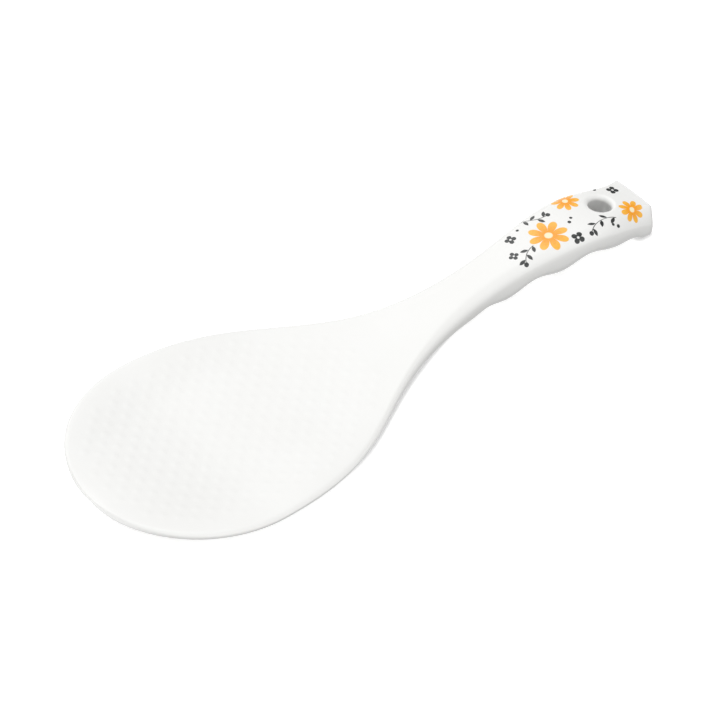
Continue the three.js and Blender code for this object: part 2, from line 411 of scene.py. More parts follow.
@dataclass
class NubField:
    """Low nubs on the blade that keep rice from sticking, in a square lattice turned by 45 degrees."""

    form: PaddleForm
    outline_share: float = 1.2
    outline_steps: int = 240
    _outline: list[tuple[float, float]] = field(default_factory=list)
    _sites: dict[tuple[int, int], bool] = field(default_factory=dict)

    def __post_init__(self) -> None:
        """Walk along the blade's outline once, closer together at the tip."""
        reach = self.form.nub_field_length * self.outline_share
        places = [reach * (i / self.outline_steps) ** 2 for i in range(self.outline_steps)]
        self._outline = [(u, self.form.half_width(u)) for u in places]

    def clear_of_rim(self, x: float, y: float, margin: float) -> bool:
        """Tell whether a place on the blade is at least a margin inside its outline.

        Args:
            x: Distance from the tip.
            y: Distance from the middle.
            margin: Least distance from the outline.

        Returns:
            True where it is.
        """
        if not 0.0 < x < self.form.nub_field_length or abs(y) > self.form.half_width(x):
            return False
        return all(math.hypot(u - x, h - abs(y)) >= margin for u, h in self._outline)

    def has_site(self, i: int, j: int) -> bool:
        """Tell whether a lattice point carries a nub.

        Args:
            i: Number of the lattice's row.
            j: Number in the row.

        Returns:
            True where it does.
        """
        if (i + j) % 2:
            return False
        if (i, j) not in self._sites:
            half = self.form.nub_pitch / math.sqrt(2)
            self._sites[i, j] = self.clear_of_rim(half * i, half * j, self.form.nub_margin)
        return self._sites[i, j]

    def rise(self, x: float, y: float) -> float:
        """Give how far the nubs lift the blade's surface at a place.

        Args:
            x: Distance from the tip, in millimetres.
            y: Distance from the middle, in millimetres.

        Returns:
            The rise in millimetres, 0 between the nubs.
        """
        half = self.form.nub_pitch / math.sqrt(2)
        near_i, near_j = round(x / half), round(y / half)
        best = self.form.nub_skirt
        for i in range(near_i - 1, near_i + 2):
            for j in range(near_j - 1, near_j + 2):
                if self.has_site(i, j):
                    best = min(best, math.hypot(x - half * i, y - half * j))
        return self.form.nub_height * math.cos(math.pi / 2 * best / self.form.nub_skirt) ** 2


@dataclass
class Moulding:
    """Blade, neck and handle: one closed skin with its nubs and its hanging hole."""

    form: PaddleForm = field(default_factory=PaddleForm)
    blade_step: float = 1.4
    handle_step: float = 1.1
    corner_steps: int = 10
    flat_steps: int = 48
    end_steps: int = 6
    mouth_steps: int = 6
    nub_cuts: int = 3
    nub_clearance: float = 0.3
    tip_length: float = 6.0
    tip_steps: int = 8
    blade_margin: float = 3.0
    end_sizes: tuple[float, ...] = (0.85, 0.6, 0.3, 0.0)
    window_reach: float = 6.6
    window_share: float = 0.45

    def stations(self) -> list[tuple[float, float]]:
        """List the rings of the skin.

        Returns:
            Pairs of a distance from the tip and the ring's size, 1 on the skin and less than 1
            on the blunt end.
        """
        form = self.form
        places = [self.tip_length * (k / self.tip_steps) ** 2 for k in range(self.tip_steps)]
        blade_end = form.nub_field_length + self.blade_margin
        rows = round((blade_end - self.tip_length) / self.blade_step)
        places += [mix(self.tip_length, blade_end, k / rows) for k in range(rows)]
        flank_end = form.length - form.end_rounding
        rows = round((flank_end - blade_end) / self.handle_step)
        places += [mix(blade_end, flank_end, k / rows) for k in range(rows)]
        places += [flank_end + form.end_rounding * math.sin(math.pi / 2 * k / self.end_steps)
                   for k in range(self.end_steps + 1)]
        return [(u, 1.0) for u in places] + [(form.length, size) for size in self.end_sizes]

    def ring(self) -> list[tuple[float, Half]]:
        """List the parameters round a section, from the far side over the top and back below.

        Returns:
            Pairs of a parameter across the section and the half that it is on.
        """
        share = self.form.flat_share
        corner = [(1 - share) * k / self.corner_steps for k in range(self.corner_steps)]
        over = [1 - c for c in corner]
        over += [share * (1 - 2 * k / self.flat_steps) for k in range(self.flat_steps)]
        over += [-share - c for c in corner]
        return [(w, Half.UPPER) for w in over] + [(-w, Half.LOWER) for w in over]

    def build(self) -> BMesh:
        """Loft the skin, open the hole and raise the nubs.

        Returns:
            The mesh in metres, with layers that tell how far each vertex is along the paddle and
            round the handle.
        """
        bm = self._loft()
        self._open_hole(bm)
        self._raise_nubs(bm)
        bmesh.ops.recalc_face_normals(bm, faces=bm.faces[:])
        bm.normal_update()
        for face in bm.faces:
            face.smooth = True
        return bm

    def _loft(self) -> BMesh:
        """Wrap a grid round the sections, from the tip to the blunt end.

        Returns:
            The closed skin, in metres.
        """
        stations, ring = self.stations(), self.ring()
        bm = bmesh.new()
        along, across, around, upper, _ = [bm.verts.layers.float.new(name) for name in LAYERS]
        half = 0.5  # of the grid that is wrapped
        bmesh.ops.create_grid(bm, x_segments=len(stations) - 1, y_segments=len(ring), size=half)
        rows: dict[int, list[tuple[Vector, float]]] = {}
        for vert in bm.verts:
            i = round((vert.co.x + half) * (len(stations) - 1))
            j = round((vert.co.y + half) * len(ring)) % len(ring)
            if i not in rows:
                rows[i] = self._row(stations[i], ring)
            place, walk = rows[i][j]
            vert[along], vert[across], vert[around] = stations[i][0], ring[j][0], walk
            vert[upper] = ring[j][1].value
            vert.co = self.world(place)
        bmesh.ops.remove_doubles(bm, verts=bm.verts[:], dist=MERGE)
        bmesh.ops.dissolve_degenerate(bm, edges=bm.edges[:], dist=SLIVER)
        bmesh.ops.recalc_face_normals(bm, faces=bm.faces[:])
        return bm

    def _row(self, station: tuple[float, float],
             ring: list[tuple[float, Half]]) -> list[tuple[Vector, float]]:
        """Place the points of one ring.

        Args:
            station: Distance from the tip and size of the ring.
            ring: Parameters round the section.

        Returns:
            Each point with its distance round the skin from the middle of the top or underside.
        """
        u, size = station
        section = self.form.section(u)
        points = [section.point(w, half) for w, half in ring]
        if size < 1.0:
            middle = Vector((u, 0.0, section.parting - section.depth / 2))
            points = [middle + (point - middle) * size for point in points]
            points = [Vector((u - section.bow * p.y * p.y, p.y, p.z)) for p in points]
        count = len(ring) // 2
        row = []
        for start in (0, count):
            half_ring = points[start:start + count]
            middle_at = count // 2
            walk = [0.0] * count
            for k in range(middle_at + 1, count):
                walk[k] = walk[k - 1] + (half_ring[k] - half_ring[k - 1]).length
            for k in range(middle_at - 1, -1, -1):
                walk[k] = walk[k + 1] - (half_ring[k] - half_ring[k + 1]).length
            sign = -1.0 if start == 0 else 1.0
            row += [(point, sign * step) for point, step in zip(half_ring, walk)]
        return row

    def world(self, place: Vector) -> Vector:
        """Turn millimetres from the tip into metres in the part's frame."""
        return Vector((place.x - self.form.length / 2, place.y, place.z)) * MM

    def local(self, place: Vector) -> Vector:
        """Turn metres in the part's frame into millimetres from the tip."""
        return Vector((place.x / MM + self.form.length / 2, place.y / MM, place.z / MM))

    def mouth_rings(self) -> list[tuple[float, float]]:
        """List the radius and the drop below the skin of each ring round the hole's mouth.

        Returns:
            Pairs of a radius and a drop, from the outside in.
        """
        form = self.form
        radius, mouth = form.hole_diameter / 2, form.hole_mouth
        rings = [(form.lip + form.foil_gap, 0.0), (form.lip, 0.0)]
        for k in range(1, self.mouth_steps + 1):
            angle = math.pi / 2 * k / self.mouth_steps
            rings.append((radius + mouth * (1 - math.sin(angle)), mouth * (1 - math.cos(angle))))
        return rings

    def _open_hole(self, bm: BMesh) -> None:
        """Cut a window in the top and the underside and join them by a round hole with soft mouths.

        Args:
            bm: The moulding's skin.
        """
        upper = bm.verts.layers.float["upper"]
        walls = []
        for half in Half:
            inside = {vert for vert in bm.verts
                      if vert[upper] == half.value and self._in_window(bm, vert)}
            window = [face for face in bm.faces if all(vert in inside for vert in face.verts)]
            bmesh.ops.delete(bm, geom=window, context="FACES")
            taken = {edge for wall in walls for edge in wall}
            loop = [edge for edge in bm.edges if edge.is_boundary and edge not in taken]
            for radius, drop in self.mouth_rings():
                loop = self._grow_mouth(bm, loop, half, radius, drop)
            walls.append(loop)
        bmesh.ops.bridge_loops(bm, edges=walls[0] + walls[1])

    def _in_window(self, bm: BMesh, vert: BMVert) -> bool:
        """Tell whether a vertex is in the square round the hole that its mouth replaces.

        Args:
            bm: The moulding's skin.
            vert: One of its vertices.

        Returns:
            True where it is.
        """
        along, across = bm.verts.layers.float["along"], bm.verts.layers.float["across"]
        off = abs(vert[along] - self.form.hole_at)
        return off < self.window_reach and abs(vert[across]) < self.window_share

    def _grow_mouth(self, bm: BMesh, loop: list[BMEdge], half: Half,
                    radius: float, drop: float) -> list[BMEdge]:
        """Extrude the hole's edge by one ring.

        Args:
            bm: The moulding.
            loop: Edges of the hole so far.
            half: The side of the moulding that it opens on.
            radius: Radius of the new ring.
            drop: Depth of the new ring under the skin.

        Returns:
            The edges of the new ring.
        """
        along, _, around, upper, painted_hole_shade = (bm.verts.layers.float[name] for name in LAYERS)
        hole_at = self.form.hole_at
        grown = bmesh.ops.extrude_edge_only(bm, edges=loop)["geom"]
        ring = [item for item in grown if isinstance(item, BMEdge) and item.is_boundary]
        for vert in {v for edge in ring for v in edge.verts}:
            place = self.local(vert.co)
            turn = math.atan2(place.y, place.x - hole_at)
            out, aside = math.cos(turn), math.sin(turn)
            reach = max(radius, self.form.lip)
            skin = self.form.surface(hole_at + reach * out, reach * aside, half)
            new = Vector((hole_at + radius * out, radius * aside, skin - half.value * drop))
            vert.co = self.world(new)
            vert[along], vert[around], vert[upper] = new.x, new.y, half.value
            # mask of the painted shade: 0 at the hole's lip, rising to 1 down the bore, where the resin
            # is painted grey
            vert[painted_hole_shade] = (drop / self.form.hole_mouth) ** 2
        return ring

    def _raise_nubs(self, bm: BMesh) -> None:
        """Divide the blade's top finely inside its rim and lift the nubs out of it.

        Args:
            bm: The moulding's skin.
        """
        nubs = NubField(self.form)
        upper = bm.verts.layers.float["upper"]
        margin = self.form.nub_margin - self.form.nub_skirt - self.nub_clearance
        floor = []
        for face in bm.faces:
            middle = self.local(face.calc_center_median())
            on_top = all(v[upper] == Half.UPPER.value for v in face.verts)
            if on_top and nubs.clear_of_rim(middle.x, middle.y, margin):
                floor.append(face)
        edges = {edge for face in floor for edge in face.edges}
        made = bmesh.ops.subdivide_edges(bm, edges=list(edges), cuts=self.nub_cuts, use_grid_fill=True)
        inner = {item for item in made["geom_inner"] if isinstance(item, BMVert)}
        for vert in inner | {v for edge in edges if edge.is_valid for v in edge.verts}:
            place = self.local(vert.co)
            top = self.form.surface(place.x, place.y, Half.UPPER)
            vert.co.z = (top + nubs.rise(place.x, place.y)) * MM


@dataclass
class FoilSeat:
    """Printed foil on the upper half of the handle's end, and the shallow seat it fills."""

    form: PaddleForm = field(default_factory=PaddleForm)
    thickness: float = 0.4
    bed: float = 0.02
    length: float = 50.0
    from_end: float = 3.4
    edge: float = 1.2

    def region(self, bm: BMesh) -> list[BMFace]:
        """List the faces of the moulding's skin that the foil covers.

        Args:
            bm: The moulding's skin or a copy of it.

        Returns:
            The covered faces.
        """
        along, upper = bm.verts.layers.float["along"], bm.verts.layers.float["upper"]
        start = self.form.length - self.from_end - self.length
        stop = self.form.length - self.from_end
        cut_out = self.form.lip + self.form.foil_gap
        faces = []
        for face in bm.faces:
            middle = face.calc_center_median()
            u = sum(v[along] for v in face.verts) / len(face.verts)
            on_top = all(v[upper] == Half.UPPER.value for v in face.verts)
            out_of_hole = math.hypot(u - self.form.hole_at, middle.y / MM) > cut_out
            high = middle.z / MM > self.form.parting(u) + self.edge
            if on_top and start < u < stop and out_of_hole and high:
                faces.append(face)
        return faces

    def lift_out(self, skin: BMesh) -> BMesh:
        """Copy the covered part of the skin as the foil, and sink it in the moulding.

        Args:
            skin: The moulding, which gets the seat.

        Returns:
            The foil's mesh, flush with the moulding's skin.
        """
        foil = skin.copy()
        kept = set(self.region(foil))
        bmesh.ops.delete(foil, geom=[f for f in foil.faces if f not in kept], context="FACES")
        self._lay_print(foil)
        foil.normal_update()
        border = [edge for edge in foil.edges if edge.is_boundary]
        bmesh.ops.solidify(foil, geom=foil.faces[:], thickness=self.thickness * MM)
        for edge in border:
            edge.smooth = False
        bmesh.ops.recalc_face_normals(foil, faces=foil.faces[:])
        self._sink(skin)
        return foil

    def _lay_print(self, foil: BMesh) -> None:
        """Keep each vertex's place on the printed sheet, in millimetres.

        Args:
            foil: The foil's outer face.
        """
        along, around = foil.verts.layers.float["along"], foil.verts.layers.float["around"]
        place = foil.verts.layers.float_vector.new("print_place")
        for vert in foil.verts:
            vert[place] = Vector((vert[along], vert[around], 0.0))

    def _sink(self, skin: BMesh) -> None:
        """Press the foil's seat into the moulding.

        Args:
            skin: The moulding, which gets the seat.
        """
        depth = -(self.thickness + self.bed) * MM
        bed = self.region(skin)
        covered = set(bed)
        rim = [edge for face in bed for edge in face.edges
               if any(beside not in covered for beside in edge.link_faces)]
        bmesh.ops.inset_region(skin, faces=bed, thickness=0.0, depth=depth, use_boundary=True,
                               use_even_offset=True)
        for edge in rim:
            edge.smooth = False


class NodeSheet:
    """Lays shader nodes into one tree and links them."""

    def __init__(self, tree: NodeTree) -> None:
        """Take the tree that the nodes go into."""
        self.tree = tree

    def add(self, kind: str, inputs: dict | None = None, **settings: object) -> Node:
        """Add a node.

        Args:
            kind: Blender's name of the node's type.
            inputs: Input names or numbers with the socket to link or the value to set.
            settings: Properties of the node.

        Returns:
            The node.
        """
        node = self.tree.nodes.new(kind)
        for key, value in settings.items():
            setattr(node, key, value)
        for key, value in (inputs or {}).items():
            if isinstance(value, NodeSocket):
                self.tree.links.new(value, node.inputs[key])
            else:
                node.inputs[key].default_value = value
        return node

    def math(self, operation: str, first: object, second: object = 0.0) -> NodeSocket:
        """Add a Math node and give its result."""
        return self.add("ShaderNodeMath", {0: first, 1: second}, operation=operation).outputs[0]

    def step(self, value: object, start: float, stop: float) -> NodeSocket:
        """Go smoothly from 0 to 1 between two values of a socket."""
        inputs = {"Value": value, "From Min": start, "From Max": stop}
        return self.add("ShaderNodeMapRange", inputs, interpolation_type="SMOOTHSTEP").outputs["Result"]

    def blend(self, share: object, first: object, second: object) -> NodeSocket:
        """Mix two colours and give the result."""
        inputs = {"Factor": share, MIX_FIRST: first, MIX_SECOND: second}
        return self.add("ShaderNodeMix", inputs, data_type="RGBA").outputs[MIX_RESULT]

    def vector(self, operation: str, first: object, second: object = (0.0, 0.0, 0.0)) -> Node:
        """Add a Vector Math node."""
        return self.add("ShaderNodeVectorMath", {0: first, 1: second}, operation=operation)

    def noise(self, place: object, scale: float, detail: float) -> NodeSocket:
        """Add a noise texture and give its value."""
        inputs = {"Vector": place, "Scale": scale, "Detail": detail}
        return self.add("ShaderNodeTexNoise", inputs).outputs["Fac"]

    def mask(self, depth: object, softness: float) -> NodeSocket:
        """Give 1 where the depth inside an outline is positive and 0 outside, with a soft edge."""
        return self.step(depth, -softness, softness)


def blank_material(name: str) -> tuple[Material, NodeSheet]:
    """Make a material with an empty sheet of nodes.

    Args:
        name: Name of the material.

    Returns:
        The material and its sheet.
    """
    material = bpy.data.materials.new(name)
    material.use_nodes = True
    material.node_tree.nodes.clear()
    return material, NodeSheet(material.node_tree)


def start_group(name: str, inputs: Names, outputs: Names
                ) -> tuple[NodeSheet, bpy_prop_collection, bpy_prop_collection, NodeSocket]:
    """Start a group of nodes that draws one kind of motif.

    Args:
        name: Name of the group.
        inputs: Names of its numbers, after the vectors Place and Centre.
        outputs: Names of its results.

    Returns:
        The sheet to lay the nodes on, the group's inputs, its results and the offset of the place
        from the motif's centre.
    """
    tree = bpy.data.node_groups.new(name, "ShaderNodeTree")
    for vector in ("Place", "Centre"):
        tree.interface.new_socket(vector, in_out="INPUT", socket_type="NodeSocketVector")
    for number in inputs:
        tree.interface.new_socket(number, in_out="INPUT", socket_type="NodeSocketFloat")
    for result in outputs:
        tree.interface.new_socket(result, in_out="OUTPUT", socket_type="NodeSocketFloat")
    sheet = NodeSheet(tree)
    given, result = sheet.add("NodeGroupInput").outputs, sheet.add("NodeGroupOutput").inputs
    offset = sheet.vector("SUBTRACT", given["Place"], given["Centre"]).outputs[0]
    return sheet, given, result, offset


@dataclass(frozen=True)
class Motif:
    """Shape on the printed sheet, which a group of nodes draws."""

    along: float
    around: float
    NUMBERS: ClassVar[Names] = ()

    def values(self) -> dict[str, float]:
        """Give the numbers of the motif by the names of the group's inputs."""
        return {name: float(getattr(self, name.lower())) for name in self.NUMBERS}


@dataclass(frozen=True)
class Rosette(Motif):
    """Flower seen from above, or a berry where it has no petals."""

    radius: float
    petals: int
    ink: Ink
    turn: float = 0.0
    NUMBERS: ClassVar[Names] = ("Radius", "Petals", "Turn")
    BLUNTNESS: ClassVar[float] = 0.5
    WAIST: ClassVar[float] = 0.3
    HEART: ClassVar[float] = 0.2
    SOFTNESS: ClassVar[float] = 0.03

    @classmethod
    def group(cls) -> NodeTree:
        """Make the nodes that draw one, with its shape, its heart and the way out to its rim.

        Returns:
            The group.
        """
        results = ("Shape", "Heart", "Reach")
        sheet, given, result, offset = start_group("rosette", cls.NUMBERS, results)
        distance = sheet.vector("LENGTH", offset).outputs["Value"]
        reach = sheet.math("DIVIDE", distance, given["Radius"])
        split = sheet.add("ShaderNodeSeparateXYZ", {0: offset})
        angle = sheet.math("ARCTAN2", split.outputs["Y"], split.outputs["X"])
        angle = sheet.math("ADD", angle, given["Turn"])
        swing = sheet.math("MULTIPLY", angle, sheet.math("DIVIDE", given["Petals"], 2.0))
        lobe = sheet.math("ABSOLUTE", sheet.math("COSINE", swing))
        lobe = sheet.math("POWER", lobe, cls.BLUNTNESS)
        petal = sheet.math("MULTIPLY", lobe, 1.0 - cls.WAIST)
        outline = sheet.math("ADD", petal, cls.WAIST)
        shape = sheet.mask(sheet.math("SUBTRACT", outline, reach), cls.SOFTNESS)
        heart = sheet.mask(sheet.math("SUBTRACT", cls.HEART, reach), cls.SOFTNESS)
        for name, socket in zip(results, (shape, heart, reach)):
            sheet.tree.links.new(socket, result[name])
        return sheet.tree


@dataclass(frozen=True)
class Leaf(Motif):
    """Pointed leaf."""

    length: float
    width: float
    turn: float
    ink: Ink = Ink.SLATE
    NUMBERS: ClassVar[Names] = ("Length", "Width", "Turn")
    SOFTNESS: ClassVar[float] = 0.06

    @classmethod
    def group(cls) -> NodeTree:
        """Make the nodes that draw one.

        Returns:
            The group.
        """
        sheet, given, result, offset = start_group("leaf", cls.NUMBERS, ("Shape",))
        back = sheet.math("MULTIPLY", given["Turn"], -1.0)
        turned = sheet.add("ShaderNodeVectorRotate", {"Vector": offset, "Angle": back},
                           rotation_type="Z_AXIS")
        split = sheet.add("ShaderNodeSeparateXYZ", {0: turned.outputs[0]})
        double = sheet.math("MULTIPLY", split.outputs["X"], 2.0)
        share = sheet.math("DIVIDE", double, given["Length"])
        bulge = sheet.math("SUBTRACT", 1.0, sheet.math("MULTIPLY", share, share))
        half = sheet.math("MULTIPLY", bulge, sheet.math("DIVIDE", given["Width"], 2.0))
        across = sheet.math("ABSOLUTE", split.outputs["Y"])
        shape = sheet.mask(sheet.math("SUBTRACT", half, across), cls.SOFTNESS)
        sheet.tree.links.new(shape, result["Shape"])
        return sheet.tree


@dataclass(frozen=True)
class Stem(Motif):
    """Thin line that follows part of a circle."""

    radius: float
    start: float
    sweep: float
    width: float = 0.24
    ink: Ink = Ink.SLATE
    NUMBERS: ClassVar[Names] = ("Radius", "Start", "Sweep", "Width")
    SOFTNESS: ClassVar[float] = 0.05

    @classmethod
    def group(cls) -> NodeTree:
        """Make the nodes that draw one.

        Returns:
            The group.
        """
        sheet, given, result, offset = start_group("stem", cls.NUMBERS, ("Shape",))
        distance = sheet.vector("LENGTH", offset).outputs["Value"]
        off_line = sheet.math("ABSOLUTE", sheet.math("SUBTRACT", distance, given["Radius"]))
        inside = sheet.math("SUBTRACT", sheet.math("DIVIDE", given["Width"], 2.0), off_line)
        line = sheet.mask(inside, cls.SOFTNESS)
        split = sheet.add("ShaderNodeSeparateXYZ", {0: offset})
        angle = sheet.math("ARCTAN2", split.outputs["Y"], split.outputs["X"])
        past = sheet.math("SUBTRACT", angle, given["Start"])
        turned = sheet.math("FLOORED_MODULO", past, 2 * math.pi)
        drawn = sheet.math("LESS_THAN", turned, given["Sweep"])
        sheet.tree.links.new(sheet.math("MULTIPLY", line, drawn), result["Shape"])
        return sheet.tree


@dataclass(frozen=True)
class Sprig:
    """Curved stem with leaves on both sides and a berry at its end, in millimetres and degrees."""

    along: float
    around: float
    radius: float
    start: float
    sweep: float
    leaves: int = 5
    leaf_length: float = 2.6
    leaf_width: float = 1.15
    leaf_angle: float = 50.0
    leaf_stand: float = 0.42
    first_leaf: float = 0.6
    berry: float = 0.75

    def motifs(self) -> list[Motif]:
        """List the stem, the leaves and the berry.

        Returns:
            The motifs.
        """
        start, sweep = math.radians(self.start), math.radians(self.sweep)
        parts: list[Motif] = [Stem(self.along, self.around, self.radius, start, sweep)]
        for k in range(self.leaves):
            angle = start + sweep * (k + self.first_leaf) / self.leaves
            side = 1.0 if k % 2 else -1.0
            away = self.radius + side * self.leaf_length * self.leaf_stand
            lean = angle + math.pi / 2 - side * math.radians(self.leaf_angle)
            parts.append(Leaf(*self._place(away, angle), self.leaf_length, self.leaf_width, lean))
        tip = self._place(self.radius, start + sweep)
        parts.append(Rosette(*tip, self.berry, 0, Ink.SLATE))
        return parts

    def _place(self, away: float, angle: float) -> tuple[float, float]:
        """Give a place on the printed sheet by its distance and angle from the stem's centre."""
        return self.along + away * math.cos(angle), self.around + away * math.sin(angle)


@dataclass(frozen=True)
class Melamine:
    """Hard, glossy white moulding resin with a faint cloud in its colour and gloss, and painted shade:
    a grey laid on the resin inside the hanging hole.

    The scales of its noise are per metre.
    """

    white: Colour = (0.87, 0.87, 0.855, 1.0)
    cloud: Colour = (0.862, 0.861, 0.844, 1.0)
    # painted shade: grey laid on the resin inside the hanging hole
    painted_hole_shade: Colour = (0.6, 0.6, 0.59, 1.0)
    cloud_scale: float = 55.0
    cloud_detail: float = 3.0
    cloud_range: tuple[float, float] = (0.35, 0.65)
    gloss_scale: float = 240.0
    gloss_detail: float = 4.0
    gloss_range: tuple[float, float] = (0.3, 0.7)
    grain_scale: float = 2600.0
    grain_detail: float = 2.0
    grain_height: float = 0.05
    smoothest: float = 0.15
    roughest: float = 0.24
    grain: float = 0.03
    index: float = 1.58
    coat: float = 0.35
    coat_roughness: float = 0.06

    def start(self, name: str) -> tuple[Material, NodeSheet, Node, NodeSocket]:
        """Start a material that has the resin's gloss and grain.

        Args:
            name: Name of the material.

        Returns:
            The material, the sheet for its nodes, its glossy shader and the resin's clouded white.
        """
        material, sheet = blank_material(name)
        place = sheet.add("ShaderNodeTexCoord").outputs["Object"]
        cloud = sheet.noise(place, self.cloud_scale, self.cloud_detail)
        gloss = sheet.noise(place, self.gloss_scale, self.gloss_detail)
        grain = sheet.noise(place, self.grain_scale, self.grain_detail)
        rough = sheet.add("ShaderNodeMapRange", {
            "Value": gloss, "From Min": self.gloss_range[0], "From Max": self.gloss_range[1],
            "To Min": self.smoothest, "To Max": self.roughest})
        bump = sheet.add("ShaderNodeBump", {
            "Height": grain, "Strength": self.grain, "Distance": self.grain_height * MM})
        shader = sheet.add("ShaderNodeBsdfPrincipled", {
            "Roughness": rough.outputs["Result"], "Normal": bump.outputs["Normal"],
            "IOR": self.index, "Coat Weight": self.coat, "Coat Roughness": self.coat_roughness})
        sheet.add("ShaderNodeOutputMaterial", {"Surface": shader.outputs["BSDF"]})
        white = sheet.blend(sheet.step(cloud, *self.cloud_range), self.white, self.cloud)
        return material, sheet, shader, white

    def material(self) -> Material:
        """Make the bare resin's material, with painted shade that greys it down in the hanging hole.

        Returns:
            The material.
        """
        material, sheet, shader, white = self.start("melamine")
        # painted shade: the hole's mask greys the resin's white down in the hanging hole
        inside = sheet.add("ShaderNodeAttribute", attribute_name="painted_hole_shade").outputs["Fac"]
        colour = sheet.blend(inside, white, self.painted_hole_shade)
        sheet.tree.links.new(colour, shader.inputs["Base Color"])
        return material


@dataclass(frozen=True)
class FloralPrint:
    """Generic flowers and sprigs, printed in orange and slate on the resin's white.

    Places are given along and round the handle, then comes the radius and, for flowers, the turn.
    """

    resin: Melamine = field(default_factory=Melamine)
    deep: Colour = (0.93, 0.34, 0.004, 1.0)
    pale: Colour = (0.95, 0.48, 0.05, 1.0)
    heart: Colour = (0.95, 0.84, 0.55, 1.0)
    slate: Colour = (0.022, 0.026, 0.026, 1.0)
    daisy_petals: int = 8
    daisies: Places = ((163.0, -2.2, 6.2, 0.2), (192.2, -6.8, 4.3, 0.0), (177.0, 6.6, 4.4, 0.4))
    floret_petals: int = 4
    florets: Places = ((153.6, 4.0, 1.8, 0.3), (169.4, -8.2, 2.1, 0.9), (150.0, -1.8, 1.6, 0.1),
                       (193.4, 3.6, 1.9, 0.6), (188.6, 7.2, 1.5, 0.2))
    sprigs: tuple[Sprig, ...] = (
        Sprig(180.4, -15.4, 9.0, start=60.0, sweep=75.0),
        Sprig(157.6, -9.8, 7.4, start=95.0, sweep=60.0, leaves=4),
        Sprig(168.0, 13.4, 8.6, start=205.0, sweep=70.0),
    )
    berries: Places = ((171.6, -1.6, 0.6), (173.2, -0.4, 0.5), (184.2, -10.2, 0.6),
                       (182.6, -9.2, 0.5), (157.6, 5.6, 0.5))
    streak_scale: float = 1.6
    streak_detail: float = 2.0
    streak_shift: float = 0.8
    fade_range: tuple[float, float] = (0.2, 0.95)

    def motifs(self) -> list[Motif]:
        """List everything that is printed, by its place along and round the handle.

        Returns:
            The motifs.
        """
        flowers = [Rosette(along, around, radius, petals, ink, turn)
                   for petals, ink, row in ((self.daisy_petals, Ink.ORANGE, self.daisies),
                                            (self.floret_petals, Ink.SLATE, self.florets))
                   for along, around, radius, turn in row]
        twigs = [motif for sprig in self.sprigs for motif in sprig.motifs()]
        return flowers + twigs + [Rosette(*berry, 0, Ink.SLATE) for berry in self.berries]

    def material(self) -> Material:
        """Make the printed resin's material.

        Returns:
            The material.
        """
        material, sheet, shader, colour = self.resin.start("printed_foil")
        place = sheet.add("ShaderNodeAttribute", attribute_name="print_place").outputs["Vector"]
        groups = {kind: kind.group() for kind in (Rosette, Leaf, Stem)}
        slate: object = 0.0
        for motif in self.motifs():
            inputs = {"Place": place, "Centre": (motif.along, motif.around, 0.0), **motif.values()}
            node = sheet.add("ShaderNodeGroup", inputs, node_tree=groups[type(motif)])
            if motif.ink is Ink.ORANGE:
                colour = self._orange(sheet, node, place, colour)
            else:
                shape = node.outputs["Shape"]
                if isinstance(motif, Rosette) and motif.petals:
                    shape = sheet.math("SUBTRACT", shape, node.outputs["Heart"])
                slate = sheet.math("MAXIMUM", shape, slate)
        sheet.tree.links.new(sheet.blend(slate, colour, self.slate), shader.inputs["Base Color"])
        return material

    def _orange(self, sheet: NodeSheet, node: Node, place: NodeSocket,
                under: NodeSocket) -> NodeSocket:
        """Print one orange flower over what is already there.

        Args:
            sheet: Sheet of the material's nodes.
            node: The flower's group.
            place: Place on the printed sheet.
            under: Colour that it goes over.

        Returns:
            The colour with the flower on it.
        """
        streak = sheet.noise(place, self.streak_scale, self.streak_detail)
        wander = sheet.math("MULTIPLY", sheet.math("SUBTRACT", streak, NOISE_MIDDLE), self.streak_shift)
        depth = sheet.step(sheet.math("ADD", node.outputs["Reach"], wander), *self.fade_range)
        petal = sheet.blend(depth, self.deep, self.pale)
        flower = sheet.blend(node.outputs["Heart"], petal, self.heart)
        return sheet.blend(node.outputs["Shape"], under, flower)


@dataclass(frozen=True)
class SoftLight:
    """Broad white light in the room at angles in degrees, which fades away from its middle."""

    heading: float
    height: float
    faded_at: float
    brightest: float

    def strength(self, sheet: NodeSheet, direction: NodeSocket) -> NodeSocket:
        """Work out how bright it is in a direction.

        Args:
            sheet: Sheet of the room's nodes.
            direction: The direction, of length 1.

        Returns:
            The brightness.
        """
        heading, height = math.radians(self.heading), math.radians(self.height)
        flat = math.cos(height)
        middle = (math.sin(heading) * flat, math.cos(heading) * flat, math.sin(height))
        facing = sheet.vector("DOT_PRODUCT", direction, middle).outputs["Value"]
        return sheet.math("MULTIPLY", sheet.step(facing, self.faded_at, 1.0), self.brightest)


@dataclass(frozen=True)
class Lamp:
    """Round soft lamp behind the handle, not mirrored in the gloss, in millimetres and watts."""

    place: tuple[float, float, float] = (600.0, -42.0, 200.0)
    size: float = 300.0
    power: float = 0.71

    def build(self) -> None:
        """Put the lamp in the scene."""
        light = bpy.data.lights.new("studio_lamp", "AREA")
        light.shape, light.size, light.energy = "DISK", self.size * MM, self.power
        holder = put("studio_lamp", light)
        holder.visible_glossy = False
        holder.location = Vector(self.place) * MM
        holder.rotation_euler = (-holder.location).to_track_quat("-Z", "Y").to_euler()


